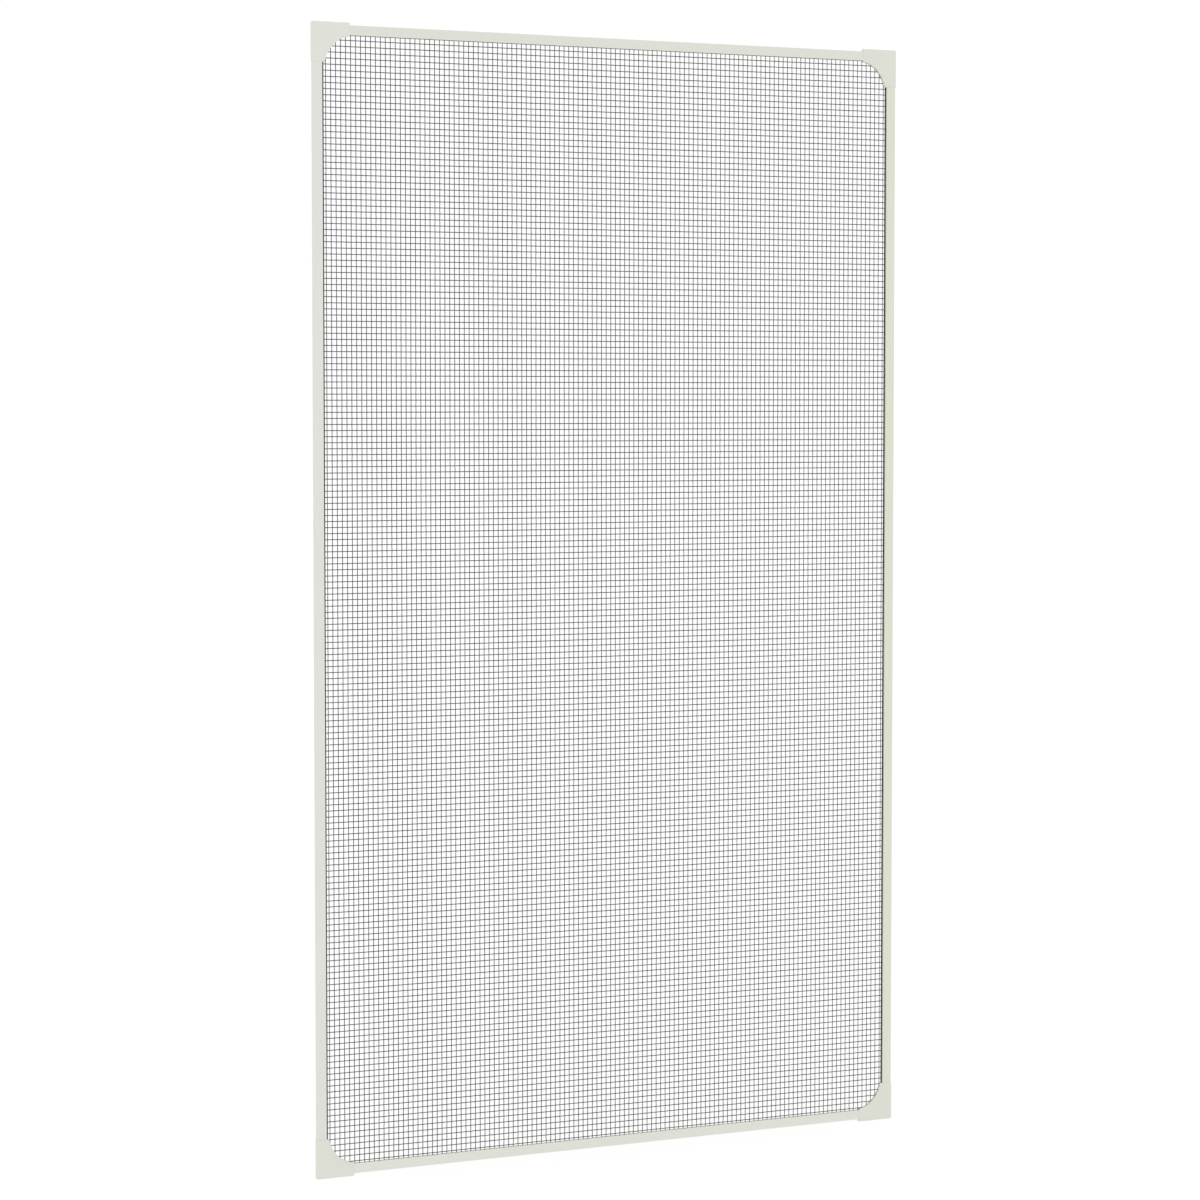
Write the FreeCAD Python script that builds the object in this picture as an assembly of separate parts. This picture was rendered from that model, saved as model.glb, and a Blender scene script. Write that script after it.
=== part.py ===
import FreeCAD
import Part
import math
import os

# A slim insect screen that is held on the outside of a window by magnetic strips in its back.
# X runs across the screen, Z runs up it, and its front looks along -Y.
# The origin is the middle of the whole screen.

# Outside size over the corner pieces
screen_width = 800.0
screen_height = 1400.0

# Rail section, measured from the rail's outer edge inwards and from its front backwards
rail_face = 10.6
rail_depth = 4.4
front_wall = 0.8
back_wall = 0.75
outer_web = 0.9
middle_web = 0.8
rail_edge_radius = 0.5

# Magnetic strip, lying on two ledges in the open back of the rail
magnet_width = 5.4
magnet_thickness = 1.4
magnet_ledge = 0.7
magnet_clearance = 0.1

# Lip on the front wall that holds the gasket in its channel
lip_height = 0.6
lip_width = 0.5

# Gasket: a barbed stem in the channel and a bead that shows beside the rail
gasket_end_gap = 0.3
gasket_barb_count = 2
gasket_barb_land = 0.3
side_bead_width = 1.4
end_bead_width = 0.25
gasket_bead_front = 0.5
gasket_bead_radius = 0.4
gasket_clearance = 0.05

# Woven mesh: one web with gaps, and ridges that stand for its threads
thread_width = 0.9
thread_thickness = 0.53
thread_pitch = 6.4
web_thickness = 0.3
mesh_end_gap = 0.2
selvedge_width = 3.0
gap_columns = 9
gap_rows = 13
ridge_taper = 0.12

# Corner pieces: how far they stand past the rails, and their own form.
# The inner edge is one arc between the ends of the two legs, where they are leg_width wide.
corner_proud = 0.6
side_step = 0.6
end_step = 3.0
leg_length = 48.0
leg_width = 16.4
inner_radius = 38.0
outer_radius = 1.5
corner_edge_chamfer = 0.4
socket_start = 18.0
socket_clearance = 0.1
corner_front_wall = 1.2
corner_outer_wall = 1.4
corner_rib = 1.1
mesh_slot_depth = 1.9
mesh_slot_clearance = 0.1
mesh_opening_margin = 2.0

# How far a cutting shape runs out past the face that it opens
cut_overrun = 1.0

# How near two places count as the same when an edge is looked for
place_tolerance = 0.000001

# Depths, worked out from the sizes above
overall_depth = rail_depth + corner_proud
corner_front = -overall_depth / 2
rail_front = corner_front + corner_proud
weave_thickness = 2 * thread_thickness
mesh_back = rail_depth - back_wall
mesh_front = mesh_back - weave_thickness
bay_outer = outer_web
bay_inner = bay_outer + magnet_width + 2 * magnet_clearance
bay_floor = rail_depth - magnet_thickness
channel_floor = bay_inner + middle_web
lip_edge = front_wall + lip_height

top_reach = screen_height / 2 - end_step
side_reach = screen_width / 2 - side_step


def section_face(corners):
    """A face in the XY plane; a corner with a third value is rounded by that radius."""
    edges = []
    count = len(corners)
    trims = []
    for i, corner in enumerate(corners):
        here = FreeCAD.Vector(corner[0], corner[1], 0)
        before = FreeCAD.Vector(corners[i - 1][0], corners[i - 1][1], 0)
        after = FreeCAD.Vector(corners[(i + 1) % count][0], corners[(i + 1) % count][1], 0)
        radius = corner[2] if len(corner) > 2 else 0.0
        if radius <= 0.0:
            trims.append((here, None, here))
            continue
        to_before = (before - here).normalize()
        to_after = (after - here).normalize()
        start = here + to_before * radius
        end = here + to_after * radius
        centre = start + to_after * radius
        middle = centre + (here - centre).normalize() * radius
        trims.append((start, middle, end))
    for i, (start, middle, end) in enumerate(trims):
        if middle is not None:
            edges.append(Part.Arc(start, middle, end).toShape())
        next_start = trims[(i + 1) % count][0]
        edges.append(Part.LineSegment(end, next_start).toShape())
    return Part.Face(Part.Wire(edges))


def run_along_side(face, length, outer_distance, turn):
    """Extrude a section along one side; turn 0 is the left side, 90 the top, 180 the right."""
    bar = face.extrude(FreeCAD.Vector(0, 0, length))
    bar.translate(FreeCAD.Vector(-outer_distance, rail_front, -length / 2))
    bar.rotate(FreeCAD.Vector(0, 0, 0), FreeCAD.Vector(0, 1, 0), turn)
    return bar


def rail_section():
    """Open channel for the gasket at the inner edge, and a stepped bay in the back."""
    ledge_outer = bay_outer + magnet_ledge
    ledge_inner = bay_inner - magnet_ledge
    return section_face([
        (0, 0, rail_edge_radius),
        (rail_face, 0, rail_edge_radius),
        (rail_face, lip_edge),
        (rail_face - lip_width, lip_edge),
        (rail_face - lip_width, front_wall),
        (channel_floor, front_wall),
        (channel_floor, mesh_back),
        (rail_face, mesh_back),
        (rail_face, rail_depth),
        (bay_inner, rail_depth),
        (bay_inner, bay_floor),
        (ledge_inner, bay_floor),
        (ledge_inner, front_wall),
        (ledge_outer, front_wall),
        (ledge_outer, bay_floor),
        (bay_outer, bay_floor),
        (bay_outer, rail_depth),
        (0, rail_depth),
    ])


def gasket_section(bead_width):
    """Barbs press on the channel's front wall, and the flat back presses on the mesh."""
    tip = channel_floor + gasket_end_gap
    stem_end = rail_face - lip_width - gasket_clearance
    barb_pitch = (stem_end - tip) / gasket_barb_count
    relief = lip_edge + gasket_clearance
    bead_start = rail_face + gasket_clearance
    bead_end = bead_start + bead_width
    bead_radius = min(gasket_bead_radius, bead_width / 2)
    corners = [(tip, mesh_front), (tip, relief)]
    for i in range(gasket_barb_count):
        barb_end = tip + barb_pitch * (i + 1)
        corners.append((barb_end - gasket_barb_land, front_wall))
        corners.append((barb_end, front_wall))
        corners.append((barb_end, relief))
    corners.append((bead_start, relief))
    corners.append((bead_start, gasket_bead_front))
    corners.append((bead_end, gasket_bead_front, bead_radius))
    corners.append((bead_end, mesh_front))
    return section_face(corners)


def magnet_section():
    left = bay_outer + magnet_clearance
    right = bay_inner - magnet_clearance
    return section_face([
        (left, bay_floor),
        (right, bay_floor),
        (right, rail_depth),
        (left, rail_depth),
    ])


def block(left, right, top, bottom, front, back):
    """A box near the top left corner, by its distances in from the screen's left and top edges."""
    box = Part.makeBox(right - left, back - front, bottom - top)
    place = FreeCAD.Vector(left - screen_width / 2, rail_front + front, screen_height / 2 - bottom)
    box.translate(place)
    return box


def arc_centre():
    """How far in from both outer edges the inner arc of a corner piece has its centre."""
    middle = (leg_length + leg_width) / 2
    half_span = (leg_length - leg_width) / 2
    return middle + math.sqrt(inner_radius ** 2 / 2 - half_span ** 2)


def corner_prism(inset, length, front, back):
    """The outline of a corner piece, with its inner arc moved outwards by the inset."""
    centre = arc_centre()
    square = block(0, length, 0, length, front, back)
    return square.cut(upright_cylinder(centre, centre, inner_radius + inset, front, back))


def upright_cylinder(right, down, radius, front, back):
    """A cylinder along Y, by the place of its axis from the screen's left and top edges."""
    axis_start = FreeCAD.Vector(right - screen_width / 2, rail_front + front, screen_height / 2 - down)
    return Part.makeCylinder(radius, back - front, axis_start, FreeCAD.Vector(0, 1, 0))


def edges_on_plane(solid, depth):
    found = []
    for edge in solid.Edges:
        bounds = edge.BoundBox
        starts_there = abs(bounds.YMin - depth) < place_tolerance
        ends_there = abs(bounds.YMax - depth) < place_tolerance
        if starts_there and ends_there:
            found.append(edge)
    return found


def outer_upright_edge(solid):
    """The long edge along Y at the screen's own top left corner."""
    found = []
    for edge in solid.Edges:
        bounds = edge.BoundBox
        at_left = abs(bounds.XMax + screen_width / 2) < place_tolerance
        at_top = abs(bounds.ZMin - screen_height / 2) < place_tolerance
        if at_left and at_top:
            found.append(edge)
    return found


def corner_piece():
    """A moulded corner: rounded outside, two rail sockets, a mesh slot and a cored back."""
    body = corner_prism(0, leg_length, -corner_proud, rail_depth)
    body = body.makeFillet(outer_radius, outer_upright_edge(body))
    body = body.makeChamfer(corner_edge_chamfer, edges_on_plane(body, corner_front))

    socket_end = leg_length + cut_overrun
    open_back = rail_depth + cut_overrun
    side_socket = block(
        side_step - socket_clearance,
        side_step + rail_face + socket_clearance,
        socket_start - socket_clearance,
        socket_end, 0, open_back)
    end_socket = block(
        socket_start - socket_clearance,
        socket_end,
        end_step - socket_clearance,
        end_step + rail_face + socket_clearance, 0, open_back)

    slot_front = mesh_front - mesh_slot_clearance
    slot_back = mesh_back + mesh_slot_clearance
    slot = corner_prism(0, leg_length, slot_front, slot_back)
    slot = slot.cut(corner_prism(mesh_slot_depth, leg_length, slot_front, slot_back))

    cuts = [side_socket, end_socket, slot]
    cuts.extend(back_cores(open_back))
    return body.cut(Part.makeCompound(cuts)).removeSplitter()


def back_cores(open_back):
    """Hollows in the back that leave even walls, a cross of ribs and one diagonal rib."""
    core_front = corner_front_wall - corner_proud
    gusset_start = end_step + rail_face + socket_clearance + corner_rib
    block_end = gusset_start - corner_rib
    cell = (block_end - corner_outer_wall - corner_rib) / 2
    cores = []
    for column in range(2):
        for row in range(2):
            left = corner_outer_wall + column * (cell + corner_rib)
            top = corner_outer_wall + row * (cell + corner_rib)
            cores.append(block(left, left + cell, top, top + cell, core_front, open_back))

    centre = arc_centre()
    core_radius = inner_radius + mesh_slot_depth + corner_rib
    gusset = block(gusset_start, centre, gusset_start, centre, core_front, open_back)
    gusset = gusset.cut(upright_cylinder(centre, centre, core_radius, core_front, open_back))
    rib_length = FreeCAD.Vector(centre, 0, centre).Length
    rib = Part.makeBox(rib_length, open_back - core_front, corner_rib)
    rib.translate(FreeCAD.Vector(0, rail_front + core_front, -corner_rib / 2))
    rib.rotate(FreeCAD.Vector(0, 0, 0), FreeCAD.Vector(0, 1, 0), 45)
    rib.translate(FreeCAD.Vector(-screen_width / 2, 0, screen_height / 2))
    cores.extend(gusset.cut(rib).Solids)
    return cores


def four_mirrored(solid):
    """Copies of something at the top left, mirrored to all four corners of the screen."""
    origin = FreeCAD.Vector(0, 0, 0)
    across = FreeCAD.Vector(1, 0, 0)
    upwards = FreeCAD.Vector(0, 0, 1)
    right = solid.mirror(origin, across)
    return {
        "top_left": solid,
        "top_right": right,
        "bottom_left": solid.mirror(origin, upwards),
        "bottom_right": right.mirror(origin, upwards),
    }


def screen_box(left, top, front, back):
    """A box that fills the screen inside the given distances from its edges."""
    return block(left, screen_width - left, top, screen_height - top, front, back)


def mesh_outline(edge_inset, front, back):
    """The mesh's shape: to the bottoms of the rail channels and corner slots, less an inset."""
    left = side_step + channel_floor + mesh_end_gap + edge_inset
    top = end_step + channel_floor + mesh_end_gap + edge_inset
    sheet = screen_box(left, top, front, back)
    slot_inset = mesh_slot_depth - mesh_end_gap - edge_inset
    corner = corner_prism(slot_inset, leg_length + mesh_end_gap + edge_inset, front, back)
    return sheet.cut(Part.makeCompound(list(four_mirrored(corner).values())))


def ridge(length, height):
    """One thread as a low ridge along Z, standing on the XZ plane towards -Y."""
    half = thread_width / 2
    face = Part.Face(Part.makePolygon([
        FreeCAD.Vector(-half, 0, 0),
        FreeCAD.Vector(-half + ridge_taper, -height, 0),
        FreeCAD.Vector(half - ridge_taper, -height, 0),
        FreeCAD.Vector(half, 0, 0),
        FreeCAD.Vector(-half, 0, 0),
    ]))
    return face.extrude(FreeCAD.Vector(0, 0, length))


def bar_edges(span, gaps, bar_width):
    """Where the gaps start and end along one direction, from the middle of the screen."""
    gap = (span - (gaps - 1) * bar_width) / gaps
    starts = [-span / 2 + i * (gap + bar_width) for i in range(gaps)]
    return [(start, start + gap) for start in starts]


def insect_mesh():
    """A web with gaps, a thick clamped edge, upright ridges in front and level ones behind."""
    web_front = (mesh_front + mesh_back - web_thickness) / 2
    web_back = web_front + web_thickness
    ridge_height = (weave_thickness - web_thickness) / 2
    bar_width = thread_pitch + thread_width

    border = leg_width + mesh_opening_margin
    columns = bar_edges(screen_width - 2 * border, gap_columns, bar_width)
    rows = bar_edges(screen_height - 2 * border, gap_rows, bar_width)
    window = screen_box(border, border, web_front, web_back)
    corner = corner_prism(-mesh_opening_margin, leg_length, web_front, web_back)
    window = window.cut(Part.makeCompound(list(four_mirrored(corner).values())))

    gaps = []
    for left, right in columns:
        for low, high in rows:
            gap = Part.makeBox(right - left, web_thickness, high - low)
            gap.translate(FreeCAD.Vector(left, rail_front + web_front, low))
            at_side = left == columns[0][0] or right == columns[-1][1]
            at_end = low == rows[0][0] or high == rows[-1][1]
            if at_side and at_end:
                gap = gap.common(window)
            gaps.append(gap)
    web = mesh_outline(0, web_front, web_back).cut(Part.makeCompound(gaps))

    clamped = mesh_outline(0, mesh_front, mesh_back)
    clamped = clamped.cut(mesh_outline(selvedge_width, mesh_front, mesh_back))

    upright_inset = end_step + channel_floor + mesh_end_gap + selvedge_width
    level_inset = side_step + channel_floor + mesh_end_gap + selvedge_width
    threads = []
    for place, inset in thread_lines(columns, upright_inset):
        length = screen_height - 2 * inset
        thread = ridge(length, ridge_height)
        thread.translate(FreeCAD.Vector(place, rail_front + web_front, -length / 2))
        threads.append(thread)
    for place, inset in thread_lines(rows, level_inset):
        length = screen_width - 2 * inset
        thread = ridge(length, ridge_height)
        thread.rotate(FreeCAD.Vector(0, 0, 0), FreeCAD.Vector(0, 1, 0), 90)
        thread.rotate(FreeCAD.Vector(0, 0, 0), FreeCAD.Vector(1, 0, 0), 180)
        thread.translate(FreeCAD.Vector(-length / 2, rail_front + web_back, place))
        threads.append(thread)
    return web.multiFuse([clamped] + threads)


def thread_lines(spans, inset):
    """A thread on each side of every gap; the outermost two stop where the corner pieces end."""
    half = thread_width / 2
    lines = []
    for start, end in spans:
        lines.append((start - half, inset))
        lines.append((end + half, inset))
    lines[0] = (lines[0][0], leg_length)
    lines[-1] = (lines[-1][0], leg_length)
    return lines


def build_nodes():
    nodes = {}
    end_rail_length = screen_width - 2 * socket_start
    side_rail_length = screen_height - 2 * socket_start
    end_gasket_length = screen_width - 2 * leg_length
    side_gasket_length = screen_height - 2 * leg_length
    upright = (side_reach, side_rail_length, side_gasket_length, side_bead_width)
    level = (top_reach, end_rail_length, end_gasket_length, end_bead_width)
    sides = {"left": (0, upright), "top": (90, level), "right": (180, upright), "bottom": (270, level)}
    for side, (turn, sizes) in sides.items():
        reach, rail_length, gasket_length, bead_width = sizes
        gasket = gasket_section(bead_width)
        nodes[side + "_rail"] = run_along_side(rail_section(), rail_length, reach, turn)
        nodes[side + "_gasket"] = run_along_side(gasket, gasket_length, reach, turn)
        nodes[side + "_magnet_strip"] = run_along_side(magnet_section(), rail_length, reach, turn)
    for place, solid in four_mirrored(corner_piece()).items():
        nodes[place + "_corner"] = solid
    nodes["insect_mesh"] = insect_mesh()
    return nodes


os.makedirs("parts", exist_ok=True)
for name, shape in build_nodes().items():
    if not shape.isValid() or len(shape.Solids) != 1:
        raise ValueError(name + " is not one valid solid")
    shape.exportStep("parts/" + name + ".step")
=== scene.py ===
import math
import bmesh
import bpy
import numpy as np
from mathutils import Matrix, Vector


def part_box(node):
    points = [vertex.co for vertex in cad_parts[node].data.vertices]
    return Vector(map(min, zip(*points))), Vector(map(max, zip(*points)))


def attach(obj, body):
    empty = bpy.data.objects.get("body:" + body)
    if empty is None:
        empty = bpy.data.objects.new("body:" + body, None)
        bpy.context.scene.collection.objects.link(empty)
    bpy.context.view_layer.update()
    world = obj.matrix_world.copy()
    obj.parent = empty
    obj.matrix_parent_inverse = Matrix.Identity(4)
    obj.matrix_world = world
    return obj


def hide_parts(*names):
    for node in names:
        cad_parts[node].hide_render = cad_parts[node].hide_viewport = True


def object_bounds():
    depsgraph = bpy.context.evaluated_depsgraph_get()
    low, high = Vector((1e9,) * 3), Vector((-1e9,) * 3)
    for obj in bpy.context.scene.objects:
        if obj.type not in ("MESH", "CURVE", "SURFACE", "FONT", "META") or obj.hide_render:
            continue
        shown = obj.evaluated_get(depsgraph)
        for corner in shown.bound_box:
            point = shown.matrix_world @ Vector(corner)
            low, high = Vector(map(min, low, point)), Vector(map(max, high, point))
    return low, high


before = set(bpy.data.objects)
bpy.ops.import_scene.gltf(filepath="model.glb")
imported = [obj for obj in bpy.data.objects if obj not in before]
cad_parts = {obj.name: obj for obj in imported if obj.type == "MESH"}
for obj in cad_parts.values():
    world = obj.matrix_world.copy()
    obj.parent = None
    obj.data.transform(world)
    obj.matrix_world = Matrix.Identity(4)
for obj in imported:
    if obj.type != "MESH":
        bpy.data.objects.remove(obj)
cadLow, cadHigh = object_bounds()
print("frame loaded:", len(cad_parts), "solids")

# Camera: left of the screen and a little above its middle, as in the photograph
view = {
    "place": (-1.665, -3.6266, 0.2528),
    "turnDegrees": 24.386,     # to the right of straight at the screen
    "tiltDegrees": 2.82,       # downwards
    "lens": 95.345,
    "shiftY": -0.04,
    "clipEnd": 60,
}


def addCamera():
    camera = bpy.data.cameras.new("camera")
    camera.lens = view["lens"]
    camera.shift_y = view["shiftY"]
    camera.clip_end = view["clipEnd"]
    holder = bpy.data.objects.new("camera", camera)
    holder.location = view["place"]
    tilt = math.radians(90 - view["tiltDegrees"])
    holder.rotation_euler = (tilt, 0, -math.radians(view["turnDegrees"]))
    bpy.context.scene.collection.objects.link(holder)
    bpy.context.scene.camera = holder


addCamera()
print("camera placed")


# Shader groups: one for slow tints, one for a fine grain
tintNoise = {
    "detail": 4.0,
    "roughness": 0.6,
    "cleanBelow": 0.35,
    "dullAbove": 0.75,
}
grainNoise = {
    "detail": 3.0,
    "roughness": 0.55,
}


def addNode(tree, kind, **values):
    node = tree.nodes.new(kind)
    for name, value in values.items():
        if name in node.inputs:
            node.inputs[name].default_value = value
        else:
            setattr(node, name, value)
    return node


def newGroup(name, inputs, outputs):
    # inputs and outputs: name -> (socket kind, default)
    tree = bpy.data.node_groups.new(name, "ShaderNodeTree")
    for label, (kind, default) in inputs.items():
        socket = tree.interface.new_socket(name=label, in_out="INPUT", socket_type=kind)
        socket.default_value = default
    for label, kind in outputs.items():
        tree.interface.new_socket(name=label, in_out="OUTPUT", socket_type=kind)
    return tree, addNode(tree, "NodeGroupInput"), addNode(tree, "NodeGroupOutput")


def scaledPlace(tree, scale):
    # object coordinates, stretched by a scale for each direction
    place = addNode(tree, "ShaderNodeTexCoord")
    mapping = addNode(tree, "ShaderNodeMapping")
    tree.links.new(place.outputs["Object"], mapping.inputs["Vector"])
    tree.links.new(scale, mapping.inputs["Scale"])
    return mapping.outputs["Vector"]


def makeTintGroup():
    # slow, faint differences of colour over a surface, from light to slightly dirty
    tree, start, end = newGroup(
        "slowTint",
        {
            "Colour": ("NodeSocketColor", (0.8, 0.8, 0.8, 1)),
            "Dull colour": ("NodeSocketColor", (0.7, 0.7, 0.66, 1)),
            "Amount": ("NodeSocketFloat", 0.3),
            "Scale": ("NodeSocketVector", (20, 20, 20)),
        },
        {"Colour": "NodeSocketColor"},
    )
    place = scaledPlace(tree, start.outputs["Scale"])
    noise = addNode(tree, "ShaderNodeTexNoise", Scale=1.0)
    noise.inputs["Detail"].default_value = tintNoise["detail"]
    noise.inputs["Roughness"].default_value = tintNoise["roughness"]
    spread = addNode(tree, "ShaderNodeMapRange")
    spread.inputs["From Min"].default_value = tintNoise["cleanBelow"]
    spread.inputs["From Max"].default_value = tintNoise["dullAbove"]
    mask = addNode(tree, "ShaderNodeMath", operation="MULTIPLY")
    mix = addNode(tree, "ShaderNodeMix", data_type="RGBA")
    tree.links.new(place, noise.inputs["Vector"])
    tree.links.new(noise.outputs["Fac"], spread.inputs["Value"])
    tree.links.new(spread.outputs["Result"], mask.inputs[0])
    tree.links.new(start.outputs["Amount"], mask.inputs[1])
    tree.links.new(mask.outputs[0], mix.inputs["Factor"])
    tree.links.new(start.outputs["Colour"], mix.inputs["A"])
    tree.links.new(start.outputs["Dull colour"], mix.inputs["B"])
    tree.links.new(mix.outputs["Result"], end.inputs["Colour"])
    return tree


def makeGrainGroup():
    # a fine grain for Bump, with a roughness that follows it
    tree, start, end = newGroup(
        "fineGrain",
        {
            "Scale": ("NodeSocketVector", (900, 900, 900)),
            "Roughness low": ("NodeSocketFloat", 0.4),
            "Roughness high": ("NodeSocketFloat", 0.5),
        },
        {"Height": "NodeSocketFloat", "Roughness": "NodeSocketFloat"},
    )
    place = scaledPlace(tree, start.outputs["Scale"])
    noise = addNode(tree, "ShaderNodeTexNoise", Scale=1.0)
    noise.inputs["Detail"].default_value = grainNoise["detail"]
    noise.inputs["Roughness"].default_value = grainNoise["roughness"]
    spread = addNode(tree, "ShaderNodeMapRange")
    tree.links.new(place, noise.inputs["Vector"])
    tree.links.new(noise.outputs["Fac"], spread.inputs["Value"])
    tree.links.new(start.outputs["Roughness low"], spread.inputs["To Min"])
    tree.links.new(start.outputs["Roughness high"], spread.inputs["To Max"])
    tree.links.new(noise.outputs["Fac"], end.inputs["Height"])
    tree.links.new(spread.outputs["Result"], end.inputs["Roughness"])
    return tree


tintGroup = makeTintGroup()
grainGroup = makeGrainGroup()


def grainedMaterial(name, look):
    # tint and grain groups on one Principled shader
    material = bpy.data.materials.new(name)
    material.use_nodes = True
    tree = material.node_tree
    shader = tree.nodes["Principled BSDF"]
    tint = addNode(tree, "ShaderNodeGroup", node_tree=tintGroup)
    tint.inputs["Colour"].default_value = look["colour"] + (1,)
    tint.inputs["Dull colour"].default_value = look["dullColour"] + (1,)
    tint.inputs["Amount"].default_value = look["dullAmount"]
    tint.inputs["Scale"].default_value = look["tintScale"]
    grain = addNode(tree, "ShaderNodeGroup", node_tree=grainGroup)
    grain.inputs["Scale"].default_value = look["grainScale"]
    grain.inputs["Roughness low"].default_value = look["roughness"][0]
    grain.inputs["Roughness high"].default_value = look["roughness"][1]
    bump = addNode(tree, "ShaderNodeBump", Strength=look["bumpStrength"], Distance=look["bumpDepth"])
    tree.links.new(tint.outputs["Colour"], shader.inputs["Base Color"])
    tree.links.new(grain.outputs["Roughness"], shader.inputs["Roughness"])
    tree.links.new(grain.outputs["Height"], bump.inputs["Height"])
    tree.links.new(bump.outputs["Normal"], shader.inputs["Normal"])
    shader.inputs["Specular IOR Level"].default_value = look["specular"]
    return material


def lengthways(scale, upright):
    # a texture's scale along and across a rail or a thread, as x, y and z
    if upright:
        return (scale["across"], scale["across"], scale["along"])
    return (scale["along"], scale["across"], scale["across"])


def dress(nodeName, material):
    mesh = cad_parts[nodeName].data
    mesh.materials.clear()
    mesh.materials.append(material)


# Rails: extruded, satin off-white, with faint draw lines along their length
railLook = {
    "dullColour": (0.622, 0.622, 0.535),
    "dullAmount": 0.22,
    "roughness": (0.34, 0.46),
    "bumpStrength": 0.5,
    "bumpDepth": 0.00005,
    "specular": 0.45,
}
railWhitesWithPaintedLight = {                 # one off-white per rail; the bottom one is painted lighter to offset the shade it gets near the floor, and the tints differ slightly
    "left_rail": (0.692, 0.697, 0.653),
    "right_rail": (0.693, 0.696, 0.576),
    "top_rail": (0.685, 0.682, 0.621),
    "bottom_rail": (0.706, 0.705, 0.636),
}
drawLines = {"along": 6, "across": 1400}
slowAlong = {"along": 3, "across": 60}


def paintRails():
    for nodeName, white in railWhitesWithPaintedLight.items():
        upright = nodeName in ("left_rail", "right_rail")
        # the rail's own white, which for the bottom rail holds painted light
        look = dict(railLook, colour=white)
        look["grainScale"] = lengthways(drawLines, upright)
        look["tintScale"] = lengthways(slowAlong, upright)
        material = grainedMaterial(nodeName + "_coat", look)
        dress(nodeName, material)


# Corner pieces: moulded, slightly duller and finely textured
cornerLook = {
    "colour": (0.69, 0.693, 0.623),
    "dullColour": (0.61, 0.61, 0.53),
    "dullAmount": 0.25,
    "tintScale": (45, 45, 45),
    "grainScale": (1600, 1600, 1600),
    "roughness": (0.46, 0.6),
    "bumpStrength": 0.6,
    "bumpDepth": 0.00008,
    "specular": 0.4,
}

# Gaskets: black rubber with a soft shine on the bead
gasketLook = {
    "colour": (0.022, 0.022, 0.022),
    "dullColour": (0.05, 0.05, 0.048),
    "dullAmount": 0.35,
    "tintScale": (80, 80, 80),
    "grainScale": (2200, 2200, 2200),
    "roughness": (0.42, 0.62),
    "bumpStrength": 0.3,
    "bumpDepth": 0.00005,
    "specular": 0.4,
}

# Magnetic strips: matt black-brown filled rubber
magnetLook = {
    "colour": (0.045, 0.038, 0.034),
    "dullColour": (0.085, 0.075, 0.066),
    "dullAmount": 0.5,
    "tintScale": (120, 120, 120),
    "grainScale": (3000, 3000, 3000),
    "roughness": (0.62, 0.82),
    "bumpStrength": 0.4,
    "bumpDepth": 0.00008,
    "specular": 0.3,
}


def paintSmallParts():
    corner = grainedMaterial("corner_moulding", cornerLook)
    gasket = grainedMaterial("gasket_rubber", gasketLook)
    magnet = grainedMaterial("magnet_rubber", magnetLook)
    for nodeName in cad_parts:
        if nodeName.endswith("_corner"):
            dress(nodeName, corner)
        elif nodeName.endswith("_gasket"):
            dress(nodeName, gasket)
        elif nodeName.endswith("_magnet_strip"):
            dress(nodeName, magnet)


paintRails()
paintSmallParts()
print("rails, corner pieces, gaskets and strips painted")


# Inner edge of each rail: a thin off-white lip over the gasket's bead, and the gasket's
# black edge that lies on the mesh and shows beyond the lip, as wide on each side as the dark line
# there: rubber and painted shade of the recess
coverLip = {
    "reach": {"left": 0.0019, "right": 0.0019, "top": 0.0014, "bottom": 0.0014},   # past the rail
    "wall": 0.00045,
    "overlap": 0.0005,         # onto the rail's rounded front edge
    "round": 0.0003,
    "roundSteps": 4,
}
gasketEdgeAndShade = {
    # the widths differ by side to paint the recess shade that shows beside each rail
    "width": {"left": 0.0022, "right": 0.0018, "top": 0.0006, "bottom": 0.0003},   # past the lip
    "thickness": 0.0005,
    "clearance": 0.00002,      # in front of the mesh
}


def lipOutline(reach, back):
    # an L, as points (inwards from the rail's inner edge, backwards from its front)
    radius = coverLip["round"]
    steps = coverLip["roundSteps"]
    wall = coverLip["wall"]
    outline = [(-coverLip["overlap"], 0.0)]
    for i in range(steps + 1):
        angle = math.pi / 2 * i / steps
        outline.append((reach - radius + radius * math.sin(angle), radius - radius * math.cos(angle)))
    outline.extend([(reach, back), (reach - wall, back)])
    outline.extend([(reach - wall, wall), (-coverLip["overlap"], wall)])
    return outline


def edgeOutline(start, tip, front, back):
    # a flat bar with a chamfered tip, as the same kind of points
    chamfer = (back - front) / 2
    return [(start, front), (tip - chamfer, front), (tip, front + chamfer), (tip, back), (start, back)]


def stripRun(side):
    # what both strips beside one rail follow: its inner edge and front, and its gasket
    railLow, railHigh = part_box(side + "_rail")
    gasketLow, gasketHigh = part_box(side + "_gasket")
    across, along = (0, 2) if side in ("left", "right") else (2, 0)
    lowSide = side in ("left", "bottom")
    return {
        "across": across,
        "along": along,
        "inwards": 1 if lowSide else -1,
        "edge": railHigh[across] if lowSide else railLow[across],
        "beadTip": gasketHigh[across] if lowSide else gasketLow[across],
        "front": railLow.y,
        "back": gasketHigh.y,
        "ends": (gasketLow[along], gasketHigh[along]),
    }


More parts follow.
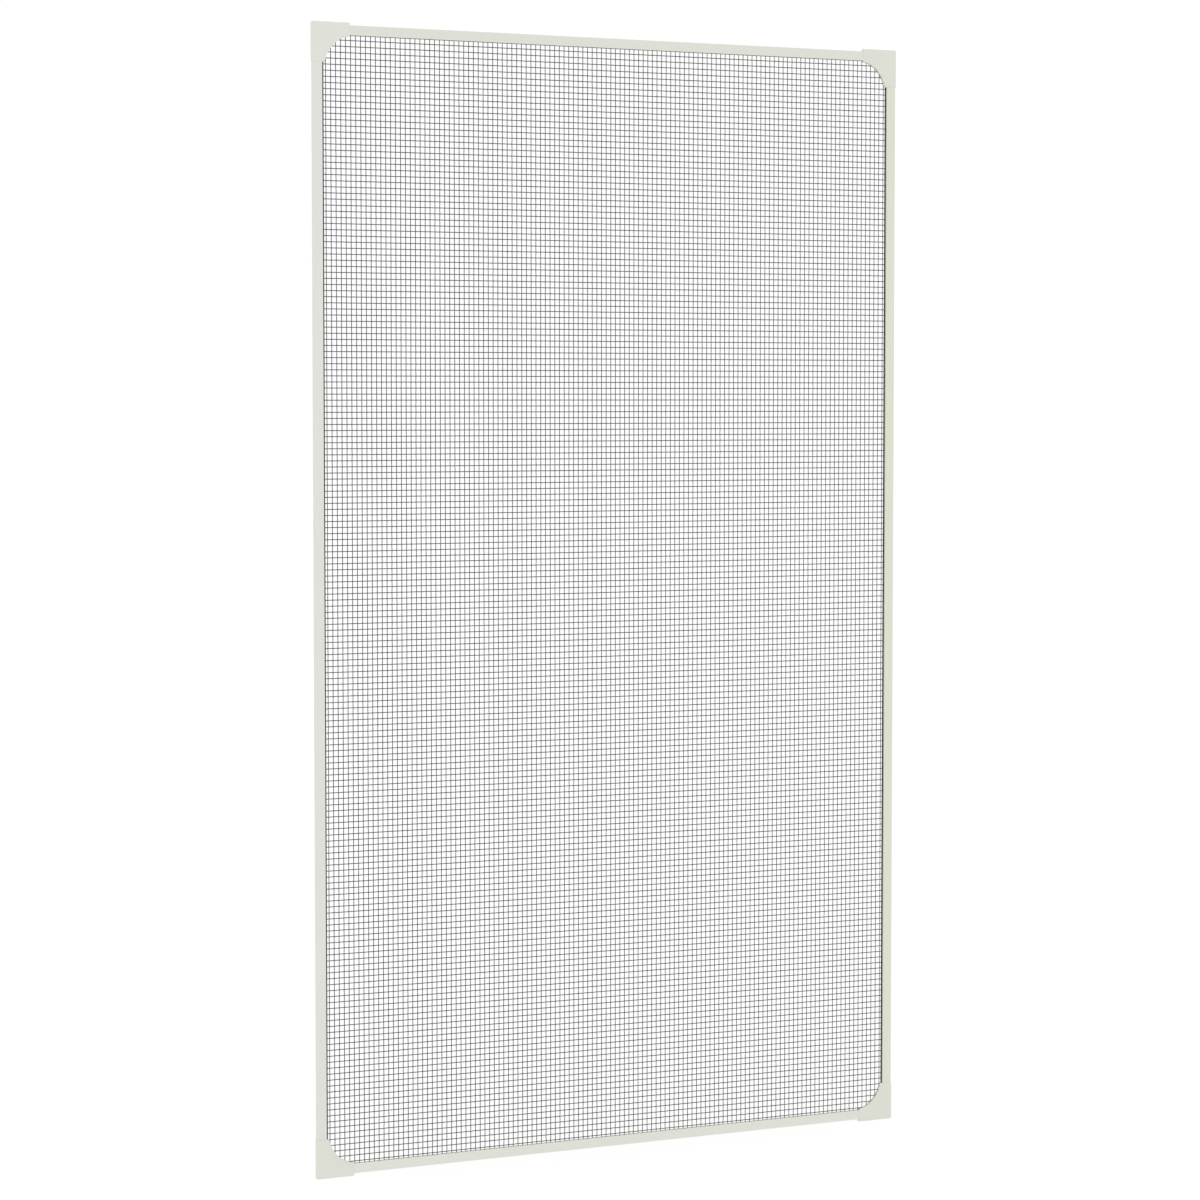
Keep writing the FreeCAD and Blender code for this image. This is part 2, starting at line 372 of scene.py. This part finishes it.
def buildStrip(name, run, outline, material):
    # the outline, drawn along one rail for the length of its gasket
    points = []
    for end in run["ends"]:
        for inset, depth in outline:
            point = [0.0, run["front"] + depth, 0.0]
            point[run["across"]] = run["edge"] + run["inwards"] * inset
            point[run["along"]] = end
            points.append(point)
    count = len(outline)
    faces = [(i, (i + 1) % count, count + (i + 1) % count, count + i) for i in range(count)]
    faces += [tuple(range(count)), tuple(range(2 * count - 1, count - 1, -1))]
    mesh = bpy.data.meshes.new(name)
    mesh.from_pydata(points, [], faces)
    solid = bmesh.new()
    solid.from_mesh(mesh)
    bmesh.ops.recalc_face_normals(solid, faces=solid.faces)
    solid.to_mesh(mesh)
    solid.free()
    mesh.materials.append(material)
    piece = bpy.data.objects.new(name, mesh)
    bpy.context.scene.collection.objects.link(piece)
    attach(piece, "root")


def addInnerEdges():
    for side in ("left", "right", "top", "bottom"):
        run = stripRun(side)
        reach = coverLip["reach"][side]
        back = run["back"] - run["front"] - gasketEdgeAndShade["clearance"]
        front = back - gasketEdgeAndShade["thickness"]
        beadReach = abs(run["beadTip"] - run["edge"])
        lip = lipOutline(reach, front)
        # the black edge, widened per side as painted shade of the recess
        rubberEdgeAndShade = edgeOutline(beadReach, reach + gasketEdgeAndShade["width"][side], front, back)
        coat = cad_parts[side + "_rail"].data.materials[0]
        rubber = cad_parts[side + "_gasket"].data.materials[0]
        buildStrip(side + "_cover_lip", run, lip, coat)
        buildStrip(side + "_gasket_edge_and_shade", run, rubberEdgeAndShade, rubber)


addInnerEdges()
print("inner edges of the rails built")


# Insect mesh: every thread is a thin tube that goes over one crossing thread and under the next
weave = {
    "threadWidth": 0.0011,     # rolled flat, so wider than it is thick
    "threadThickness": 0.00053,
    "acrossPitch": 0.006375,   # between upright threads
    "acrossShift": 0.0008,     # of the thread nearest the middle
    "upPitch": 0.00732,        # between level threads
    "upShift": -0.0018,
    "sides": 6,                # of a thread's tube
    "legWidth": 0.0164,        # corner piece, at the ends of its legs
    "arcRadius": 0.038,        # its inner edge, one arc from leg to leg
    "slotReach": 0.0017,       # how far threads reach into its slot
    "legGap": 0.0002,          # between a leg's end and a thread that stops there
}
threadLook = {
    "colour": (0.07, 0.07, 0.073),
    "dullColour": (0.11, 0.11, 0.11),
    "dullAmount": 0.4,
    "tintScale": (60, 60, 60),
    "roughness": (0.45, 0.62),
    "bumpStrength": 0.4,
    "bumpDepth": 0.00003,
    "specular": 0.4,
}
threadRidges = {"along": 500, "across": 9000}


def evenPlaces(reach, pitch, shift):
    # thread places either side of the middle, out to the reach
    first = math.ceil((-reach - shift) / pitch)
    last = math.floor((reach - shift) / pitch)
    return [shift + i * pitch for i in range(first, last + 1)]


def threadReach(place, sideReach, endReach, sideChannel, endChannel, legLength):
    # how far a thread runs from the middle: into the rail's channel, or the slot of a corner piece
    fromSide = sideReach - abs(place)
    legEnd = legLength + weave["legGap"]
    if fromSide > legEnd:
        return endReach - endChannel
    halfSpan = (legLength - weave["legWidth"]) / 2
    centre = legLength - halfSpan + math.sqrt(weave["arcRadius"] ** 2 / 2 - halfSpan ** 2)
    radius = weave["arcRadius"] + weave["slotReach"]
    if centre - fromSide > radius:
        return endReach - legEnd
    rise = math.sqrt(radius ** 2 - (centre - fromSide) ** 2)
    return endReach - min(centre - rise, legEnd)


def threadTube(place, ends, crossings, firstSide, upright, middleDepth):
    # one thread: rings of corner points along it, pushed to front and back at the crossings
    halfWidth = weave["threadWidth"] / 2
    halfThickness = weave["threadThickness"] / 2
    inner = [(i, c) for i, c in enumerate(crossings) if abs(c) < ends - weave["threadWidth"]]
    along = np.array([-ends] + [c for _, c in inner] + [ends])
    side = np.array([0] + [1 if (i + firstSide) % 2 else -1 for i, _ in inner] + [0])
    depth = middleDepth + side * halfThickness
    angles = np.arange(weave["sides"]) * 2 * math.pi / weave["sides"]
    across = place + halfWidth * np.cos(angles)
    rings = np.empty((len(along), weave["sides"], 3))
    rings[:, :, 0 if upright else 2] = across[None, :]
    rings[:, :, 1] = depth[:, None] + halfThickness * np.sin(angles)[None, :]
    rings[:, :, 2 if upright else 0] = along[:, None]
    return rings


def tubeFaces(ringCount, first, flip):
    # quads between the rings and a cap on each end; first is the number of the first point
    sides = weave["sides"]
    ring = np.arange(ringCount - 1)[:, None] * sides
    here = np.arange(sides)[None, :]
    after = (here + 1) % sides
    quads = np.stack([ring + here, ring + after, ring + sides + after, ring + sides + here], 2)
    quads = quads.reshape(-1, 4) + first
    if flip:
        quads = quads[:, ::-1]
    caps = [list(range(first + sides - 1, first - 1, -1)),
            list(range(first + (ringCount - 1) * sides, first + ringCount * sides))]
    if flip:
        caps = [cap[::-1] for cap in caps]
    return quads.tolist() + caps


def buildThreads(name, tubes, material, flip):
    points = []
    faces = []
    first = 0
    for rings in tubes:
        points.append(rings.reshape(-1, 3))
        faces.extend(tubeFaces(len(rings), first, flip))
        first += rings.shape[0] * rings.shape[1]
    mesh = bpy.data.meshes.new(name)
    mesh.from_pydata(np.concatenate(points).tolist(), [], faces)
    mesh.shade_smooth()
    mesh.materials.append(material)
    piece = bpy.data.objects.new(name, mesh)
    bpy.context.scene.collection.objects.link(piece)
    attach(piece, "root")
    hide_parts("insect_mesh")


def threadMaterial(name, upright):
    look = dict(threadLook)
    look["grainScale"] = lengthways(threadRidges, upright)
    return grainedMaterial(name, look)


def weaveMesh():
    meshLow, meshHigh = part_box("insect_mesh")
    cornerLow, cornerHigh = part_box("top_left_corner")
    legLength = cornerHigh.z - cornerLow.z
    sideReach, endReach = cadHigh.x, cadHigh.z
    sideChannel, endChannel = sideReach - meshHigh.x, endReach - meshHigh.z
    middleDepth = (meshLow.y + meshHigh.y) / 2
    columns = evenPlaces(meshHigh.x - weave["threadWidth"], weave["acrossPitch"], weave["acrossShift"])
    rows = evenPlaces(meshHigh.z - weave["threadWidth"], weave["upPitch"], weave["upShift"])

    uprightTubes = []
    for i, x in enumerate(columns):
        ends = threadReach(x, sideReach, endReach, sideChannel, endChannel, legLength)
        uprightTubes.append(threadTube(x, ends, rows, i, True, middleDepth))
    levelTubes = []
    for i, z in enumerate(rows):
        ends = threadReach(z, endReach, sideReach, endChannel, sideChannel, legLength)
        levelTubes.append(threadTube(z, ends, columns, i + 1, False, middleDepth))

    warp = threadMaterial("upright_yarn", True)
    weft = threadMaterial("level_yarn", False)
    halfColumns, halfRows = len(columns) // 2, len(rows) // 2
    buildThreads("mesh_upright_left", uprightTubes[:halfColumns], warp, False)
    buildThreads("mesh_upright_right", uprightTubes[halfColumns:], warp, False)
    buildThreads("mesh_level_lower", levelTubes[:halfRows], weft, True)
    buildThreads("mesh_level_upper", levelTubes[halfRows:], weft, True)
    print("mesh woven:", len(columns), "upright and", len(rows), "level threads")


weaveMesh()


# Stage: white floor under the screen, white surroundings and one soft light
studio = {
    "floorHalfSize": 30.0,
    "floorColour": (0.2, 0.2, 0.2, 1),
    "floorRoughness": 0.9,
    "floorGlow": 0.825,
    "surroundings": 1.01,
    "softLightPower": 7.0,
    "softLightSize": 2.4,
    "softLightPlace": (-1.6, -2.8, 0.9),
}


def addFloor():
    half = studio["floorHalfSize"]
    level = cadLow.z
    mesh = bpy.data.meshes.new("floor")
    corners = [(-half, -half, level), (half, -half, level), (half, half, level), (-half, half, level)]
    mesh.from_pydata(corners, [], [(0, 1, 2, 3)])
    material = bpy.data.materials.new("floor_white")
    material.use_nodes = True
    shader = material.node_tree.nodes["Principled BSDF"]
    shader.inputs["Base Color"].default_value = studio["floorColour"]
    shader.inputs["Roughness"].default_value = studio["floorRoughness"]
    shader.inputs["Specular IOR Level"].default_value = 0.0      # no sheen towards the horizon
    shader.inputs["Emission Color"].default_value = (1, 1, 1, 1)
    shader.inputs["Emission Strength"].default_value = studio["floorGlow"]
    mesh.materials.append(material)
    floor = bpy.data.objects.new("floor", mesh)
    bpy.context.scene.collection.objects.link(floor)


def addLights():
    world = bpy.data.worlds.new("surroundings")
    world.use_nodes = True
    background = world.node_tree.nodes["Background"]
    background.inputs["Color"].default_value = (1, 1, 1, 1)
    background.inputs["Strength"].default_value = studio["surroundings"]
    bpy.context.scene.world = world
    light = bpy.data.lights.new("soft_light", "AREA")
    light.energy = studio["softLightPower"]
    light.size = studio["softLightSize"]
    holder = bpy.data.objects.new("soft_light", light)
    holder.location = studio["softLightPlace"]
    holder.rotation_euler = (-holder.location).to_track_quat("-Z", "Y").to_euler()
    bpy.context.scene.collection.objects.link(holder)


addFloor()
addLights()
bpy.context.scene.view_settings.view_transform = "Standard"
print("stage and lights set")
